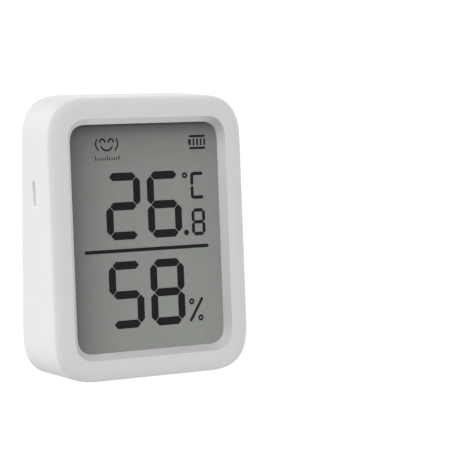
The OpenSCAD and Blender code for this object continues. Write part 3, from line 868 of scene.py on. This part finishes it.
def comfort_face(bm):
    middle, lift = -12.62, 0.08
    cheek = [(3.22, 28.15), (3.5, 27.45), (3.6, 26.8), (3.48, 26.15), (3.18, 25.55), (2.72, 25.05)]
    eye_u, eye_v, eye_w, eye_h = 1.4, 27.35, 0.78, 0.85
    mouth_v, mouth_w, mouth_h = 26.25, 1.8, 1.3
    cheek_stroke, eye_stroke, mouth_stroke = 0.42, 0.48, 0.46
    for side in (-1, 1):
        add_stroke(bm, [(middle + side * u, v + lift) for u, v in cheek], cheek_stroke)
        add_stroke(bm, arc_path(middle + side * eye_u, eye_v + lift, eye_w, eye_h, 180, 0), eye_stroke)
    add_stroke(bm, arc_path(middle, mouth_v + lift, mouth_w, mouth_h, 188, 352), mouth_stroke)


def step_scale(bm):
    middle, ticks, pitch, half, low, high = -12.56, 11, 0.77, 0.14, 22.25, 23.5
    long_every, shorter, soften = 5, 0.45, 0.08
    for k in range(ticks):
        u = middle + pitch * (k - (ticks - 1) / 2)
        top = high if k % long_every == 0 else high - shorter
        add_bar(bm, u - half, u + half, low, top, soften)


for build in (
    decimal_dot, divider_bar, degree_sign, percent_sign, battery_sign, comfort_face, step_scale,
):
    sign(build.__name__, build)


# Finishes of the CAD nodes

# Distance under which points of a CAD mesh are joined, and width of a softened edge
WELD_GAP = 0.001
SOFT_EDGE = 0.15


def dress(node, material, bevel=0.0):
    """Give a CAD node its material and, where it shows, soft edges."""
    obj = nodes[node]
    obj.data.materials.clear()
    obj.data.materials.append(material)
    weld = obj.modifiers.new("weld", "WELD")
    weld.merge_threshold = WELD_GAP * MM
    if bevel:
        edges = obj.modifiers.new("edges", "BEVEL")
        edges.width = bevel * MM
        edges.segments = 2
        edges.limit_method = "ANGLE"
        edges.angle_limit = SHARP_ANGLE
        edges.use_clamp_overlap = True
    weigh_normals(obj)


def cell_material(node, nub):
    """Printed sleeve of a cell: dark, with a pale band and bare steel towards its nub."""
    material, tree, shader = new_material(node + "_sleeve")
    point = object_point(tree)
    low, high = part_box(node)
    start, end = (low[0], high[0]) if nub > 0 else (high[0], low[0])
    along = way_along(tree, point, "X", start, end)
    steel, dark, pale = (0.55, 0.55, 0.56), (0.035, 0.04, 0.05), (0.52, 0.47, 0.36)
    # Each band's start along the cell, colour and metallic
    bands = [(0.0, steel, 0.9), (0.012, dark, 0.1), (0.7, pale, 0.75), (0.965, steel, 0.9)]
    colour = ramp(tree, along, [(at, paint) for at, paint, metal in bands], "CONSTANT")
    metallic = tone_ramp(tree, along, [(at, metal) for at, paint, metal in bands], "CONSTANT")
    tree.links.new(colour, shader.inputs["Base Color"])
    tree.links.new(metallic, shader.inputs["Metallic"])
    grain, gloss = 900.0, (0.28, 0.42)
    fine = noise(tree, point, grain)
    add_gloss(tree, shader, fine, *gloss)
    add_bump(tree, shader, fine, FINE_STRENGTH, FINE_DEPTH)
    return material


dress("lcd_front_film", film_material())
glass = moulded("display_glass", (0.6, 0.65, 0.62), 0.12, 0.05)
dress("lcd_front_glass", glass)
dress("lcd_rear_glass", glass)
dress("lcd_reflector", brushed("reflector_foil", (0.8, 0.81, 0.79), 0.45))
dress("lcd_holder", moulded("holder_plastic", (0.7, 0.7, 0.68), 0.5))
rubber = moulded("dark_rubber", (0.02, 0.02, 0.022), 0.75, 0.3, grain=1800.0, strength=0.15)
dress("zebra_strip", rubber)
dress("sensor_shroud", rubber)
solder_mask = moulded("solder_mask", (0.012, 0.09, 0.035), 0.35, 0.4, grain=900.0, strength=0.1)
dress("main_board", solder_mask)
dress("radio_module", brushed("shield_tin", (0.62, 0.62, 0.6), 0.35))
chip = moulded("chip_plastic", (0.012, 0.012, 0.013), 0.6, 0.3, grain=2200.0, strength=0.12)
for name in ("display_driver", "humidity_sensor", "switch_base", "switch_plunger"):
    dress(name, chip)
for name in ("unit_button", "rear_cover", "battery_door"):
    dress(name, shell_plastic, SOFT_EDGE)
dress("battery_upper", cell_material("battery_upper", 1))
dress("battery_lower", cell_material("battery_lower", -1))
nickel = brushed("contact_nickel", (0.68, 0.66, 0.6), 0.28)
for name in ("spring_upper", "spring_lower", "contact_link", "contact_positive", "contact_negative"):
    dress(name, nickel)
plating = brushed("magnet_plating", (0.66, 0.66, 0.66), 0.2)
dress("magnet_left", plating)
dress("magnet_right", plating)
screw_steel = brushed("screw_steel", (0.45, 0.45, 0.46), 0.32)
dress("case_screws", screw_steel)
dress("board_screws", screw_steel)


# Stage, light and camera

# Stage in metres, wide enough that its edge stays out of a view from above the floor
STAGE_R = 60.0
STAGE_H = 30.0
STAGE_SIDES = 64
STAGE_DROP = 0.00002
WHITE = (1.0, 1.0, 1.0, 1.0)
STAGE_PAINT = (0.08, 0.08, 0.08, 1.0)


def stage_material():
    material = bpy.data.materials.new("stage_white")
    material.use_nodes = True
    tree = material.node_tree
    tree.nodes.clear()
    glow = tree.nodes.new("ShaderNodeEmission")
    glow.inputs["Color"].default_value = WHITE
    glow.inputs["Strength"].default_value = 1.0
    paint = tree.nodes.new("ShaderNodeBsdfDiffuse")
    paint.inputs["Color"].default_value = STAGE_PAINT
    both = tree.nodes.new("ShaderNodeAddShader")
    out = tree.nodes.new("ShaderNodeOutputMaterial")
    tree.links.new(glow.outputs["Emission"], both.inputs[0])
    tree.links.new(paint.outputs["BSDF"], both.inputs[1])
    tree.links.new(both.outputs["Shader"], out.inputs["Surface"])
    return material


def make_stage():
    """Pale floor that turns up into a far wall. It only shows: the light comes from the tent."""
    bm = bmesh.new()
    loops = []
    for height in (0.0, STAGE_H):
        ring = [(STAGE_R * math.cos(a), STAGE_R * math.sin(a), height) for a in full_turn(STAGE_SIDES)]
        loops.append(add_loop(bm, ring))
    bm.faces.new(loops[0])
    bridge(bm, loops[0], loops[1])
    mesh = bpy.data.meshes.new("floor")
    bm.to_mesh(mesh)
    bm.free()
    mesh.materials.append(stage_material())
    floor = bpy.data.objects.new("floor", mesh)
    bpy.context.scene.collection.objects.link(floor)
    floor.location.z = -STAGE_DROP
    floor.visible_diffuse = False
    floor.visible_glossy = False
    floor.visible_shadow = False


# Soft boxes of the light tent: direction from the object, and brightness
SOFT_BOXES = {
    "overhead": ((0.0, 0.0, 1.0), 0.9),
    "left": ((-1.0, 0.0, 0.0), 1.5),
    "front": ((0.0, -1.0, 0.0), 1.3),
    "front_right": ((1.0, -1.0, 0.0), 0.3),
    "rear_right": ((1.0, 1.0, 0.0), 1.1),
    "rear_left": ((-1.0, 1.0, 0.0), 0.4),
    "upper_left": ((-1.0, 0.4, 1.0), 1.2),
    "upper_right": ((1.0, 0.4, 1.0), 0.8),
    "low_right": ((1.0, -0.4, -1.0), 0.9),
    "low_rear": ((-0.4, 1.0, -1.0), 0.8),
}
BOX_EDGE = math.cos(math.radians(50))
BOX_CORE = math.cos(math.radians(10))


def make_world():
    """Tent of soft light made of a few wide soft boxes."""
    world = bpy.data.worlds.new("soft_tent")
    bpy.context.scene.world = world
    world.use_nodes = True
    tree = world.node_tree
    back = tree.nodes["Background"]
    back.inputs["Color"].default_value = WHITE
    point = tree.nodes.new("ShaderNodeTexCoord").outputs["Generated"]
    total = None
    for direction, brightness in SOFT_BOXES.values():
        towards = vector_value(tree, "DOT_PRODUCT", point, Vector(direction).normalized())
        light = map_range(tree, towards, BOX_EDGE, BOX_CORE, 0.0, brightness, True)
        total = light if total is None else math_value(tree, "ADD", total, light)
    tree.links.new(total, back.inputs["Strength"])


# Camera: its place and far limit in metres, and how far it looks down and to the right, in degrees
CAMERA_AT = (-0.32407, -0.54028, 0.10002)
CAMERA_DOWN = 5.198
CAMERA_RIGHT = 33.254
CAMERA_FAR = 200.0
SENSOR_W = 36.0
LENS = 175.44


def make_camera():
    data = bpy.data.cameras.new("photo_camera")
    data.sensor_width = SENSOR_W
    data.lens = LENS
    data.clip_end = CAMERA_FAR
    camera = bpy.data.objects.new("photo_camera", data)
    camera.location = CAMERA_AT
    camera.rotation_euler = (math.radians(90 - CAMERA_DOWN), 0.0, math.radians(-CAMERA_RIGHT))
    bpy.context.scene.collection.objects.link(camera)
    bpy.context.scene.camera = camera


make_camera()
make_stage()
make_world()
bpy.context.scene.view_settings.view_transform = "Standard"
